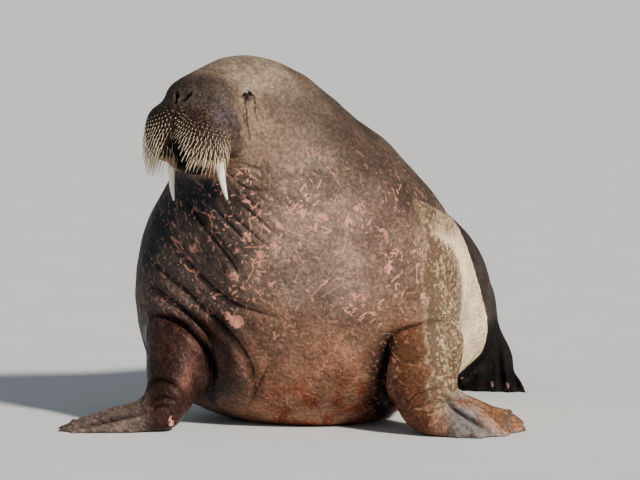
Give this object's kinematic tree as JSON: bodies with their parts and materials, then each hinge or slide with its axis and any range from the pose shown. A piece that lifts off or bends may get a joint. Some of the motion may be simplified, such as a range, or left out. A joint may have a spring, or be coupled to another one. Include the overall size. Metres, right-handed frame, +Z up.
{
  "type": "walrus",
  "caption": "Life-size still model of a walrus sitting up on its foreflippers, with short ivory tusks and a whiskered muzzle, resting on its flat underside.",
  "frame": {"origin": "on the floor under the middle of the whole model's box", "axes": "+Z up; the chest faces -Y and the tail lies towards +Y; the animal's left side is +X"},
  "size_m": [1.6536, 2.2426, 1.3785],
  "materials": {
    "hide": "thick wrinkled hide under very short fur, brown with pale scars",
    "muzzle": "dark brown skin dotted with the roots of stiff pale whiskers",
    "flipper": "bare dark wrinkled skin, damp",
    "ivory": "smooth ivory with faint lengthwise streaks",
    "eye": "wet dark eye"
  },
  "bodies": {
    "root": {"rump": "hide", "belly": "hide", "chest": "hide", "neck": "hide", "head": "hide", "eye_left": "eye", "eye_right": "eye", "muzzle_pad_left": "muzzle", "muzzle_pad_right": "muzzle", "chin": "muzzle", "tusk_left": "ivory", "tusk_right": "ivory", "arm_left": "hide", "arm_right": "hide", "foreflipper_left": "flipper", "foreflipper_right": "flipper", "hind_leg_left": "hide", "hind_leg_right": "hide", "hind_flipper_left": "flipper", "hind_flipper_right": "flipper", "tail": "hide"}
  },
  "joints": []
}
